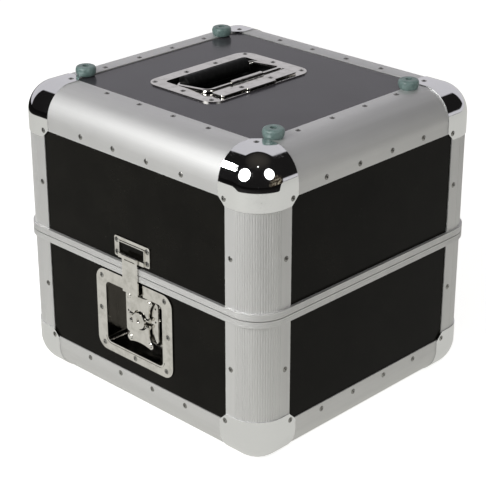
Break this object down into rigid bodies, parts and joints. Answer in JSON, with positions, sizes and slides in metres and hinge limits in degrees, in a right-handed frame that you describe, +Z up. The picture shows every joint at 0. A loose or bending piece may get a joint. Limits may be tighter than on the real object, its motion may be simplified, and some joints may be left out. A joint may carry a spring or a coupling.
{
  "type": "record carrying case",
  "caption": "Box-shaped carrying case for records: black boards in aluminium edges, ball corners, lift-off lid, butterfly latches, recessed handle and rubber feet.",
  "frame": {"origin": "on the ground, under the middle of the case", "axes": "+Z up, the front with its latch faces -Y, the handle's hinge lies towards +X"},
  "size_m": [0.3832, 0.3662, 0.3615],
  "materials": {
    "wall_laminate": "black laminate, satin gloss",
    "edge_aluminium": "brushed along the length, clear anodised",
    "post_aluminium": "ribbed along the length, clear anodised",
    "rail_aluminium": "satin, clear anodised",
    "corner_chrome": "polished nickel-chrome plate",
    "latch_chrome": "bright nickel-chrome plate",
    "rivet_steel": "plain steel rivet heads",
    "foot_rubber": "matt grey-green rubber",
    "screw_steel": "zinc-plated steel",
    "foam_lining": "dark grey foam pad",
    "tray_black": "moulded black plastic, satin",
    "grip_rubber": "black rubber sleeve"
  },
  "bodies": {
    "base": {"base_bottom_board": "wall_laminate", "base_front_board": "wall_laminate", "base_back_board": "wall_laminate", "base_right_board": "wall_laminate", "base_left_board": "wall_laminate", "base_front_edge": "edge_aluminium", "base_back_edge": "edge_aluminium", "base_right_edge": "edge_aluminium", "base_left_edge": "edge_aluminium", "base_front_right_post": "post_aluminium", "base_front_right_corner": "corner_chrome", "base_front_left_post": "post_aluminium", "base_front_left_corner": "corner_chrome", "base_back_right_post": "post_aluminium", "base_back_right_corner": "corner_chrome", "base_back_left_post": "post_aluminium", "base_back_left_corner": "corner_chrome", "base_closure_rail": "rail_aluminium", "base_rivets": "rivet_steel", "base_foam": "foam_lining", "front_latch_dish": "latch_chrome", "back_latch_dish": "latch_chrome"},
    "lid": {"lid_top_board": "wall_laminate", "lid_front_board": "wall_laminate", "lid_back_board": "wall_laminate", "lid_right_board": "wall_laminate", "lid_left_board": "wall_laminate", "lid_front_edge": "edge_aluminium", "lid_back_edge": "edge_aluminium", "lid_right_edge": "edge_aluminium", "lid_left_edge": "edge_aluminium", "lid_front_right_post": "post_aluminium", "lid_front_right_corner": "corner_chrome", "lid_front_left_post": "post_aluminium", "lid_front_left_corner": "corner_chrome", "lid_back_right_post": "post_aluminium", "lid_back_right_corner": "corner_chrome", "lid_back_left_post": "post_aluminium", "lid_back_left_corner": "corner_chrome", "lid_closure_rail": "rail_aluminium", "lid_rivets": "rivet_steel", "lid_foam": "foam_lining", "lid_feet": "foot_rubber", "lid_foot_screws": "screw_steel", "handle_plate": "latch_chrome", "handle_tray": "tray_black", "handle_hinge_strip": "latch_chrome", "front_latch_keeper": "latch_chrome", "back_latch_keeper": "latch_chrome"},
    "bail": {"handle_bail": "latch_chrome", "handle_grip": "grip_rubber"},
    "front_hook": {"front_latch_hook": "latch_chrome"},
    "front_spindle": {"front_latch_spindle": "latch_chrome"},
    "front_upper_wing": {"front_latch_upper_wing": "latch_chrome"},
    "front_lower_wing": {"front_latch_lower_wing": "latch_chrome"},
    "back_hook": {"back_latch_hook": "latch_chrome"},
    "back_spindle": {"back_latch_spindle": "latch_chrome"},
    "back_upper_wing": {"back_latch_upper_wing": "latch_chrome"},
    "back_lower_wing": {"back_latch_lower_wing": "latch_chrome"}
  },
  "joints": [
    {"name": "lid_lift", "type": "slide", "parent": "base", "child": "lid", "axis": [0, 0, 1], "range_m": [0, 0.2]},
    {"name": "handle_raise", "type": "hinge", "parent": "lid", "child": "bail", "pos_m": [0.0015, -0.003, 0.3528], "axis": [0, 1, 0], "range_deg": [0, 100]},
    {"name": "front_latch_turn", "type": "hinge", "parent": "base", "child": "front_spindle", "pos_m": [0, -0.1775, 0.114], "axis": [0, -1, 0], "range_deg": [0, 180]},
    {"name": "front_hook_lift", "type": "slide", "parent": "base", "child": "front_hook", "axis": [0, 0, 1], "range_m": [0, 0.008]},
    {"name": "front_upper_wing_fold", "type": "hinge", "parent": "front_spindle", "child": "front_upper_wing", "pos_m": [0, -0.1687, 0.1182], "axis": [1, 0, 0], "range_deg": [0, 88]},
    {"name": "front_lower_wing_fold", "type": "hinge", "parent": "front_spindle", "child": "front_lower_wing", "pos_m": [0, -0.1687, 0.1098], "axis": [-1, 0, 0], "range_deg": [0, 88]},
    {"name": "back_latch_turn", "type": "hinge", "parent": "base", "child": "back_spindle", "pos_m": [0, 0.1775, 0.114], "axis": [0, 1, 0], "range_deg": [0, 180]},
    {"name": "back_hook_lift", "type": "slide", "parent": "base", "child": "back_hook", "axis": [0, 0, 1], "range_m": [0, 0.008]},
    {"name": "back_upper_wing_fold", "type": "hinge", "parent": "back_spindle", "child": "back_upper_wing", "pos_m": [0, 0.1687, 0.1182], "axis": [-1, 0, 0], "range_deg": [0, 88]},
    {"name": "back_lower_wing_fold", "type": "hinge", "parent": "back_spindle", "child": "back_lower_wing", "pos_m": [0, 0.1687, 0.1098], "axis": [1, 0, 0], "range_deg": [0, 88]}
  ],
  "couplings": [
    {"joint": "front_latch_turn", "follows": "front_hook_lift", "rad_per_m": 392.69},
    {"joint": "back_latch_turn", "follows": "back_hook_lift", "rad_per_m": 392.69}
  ]
}
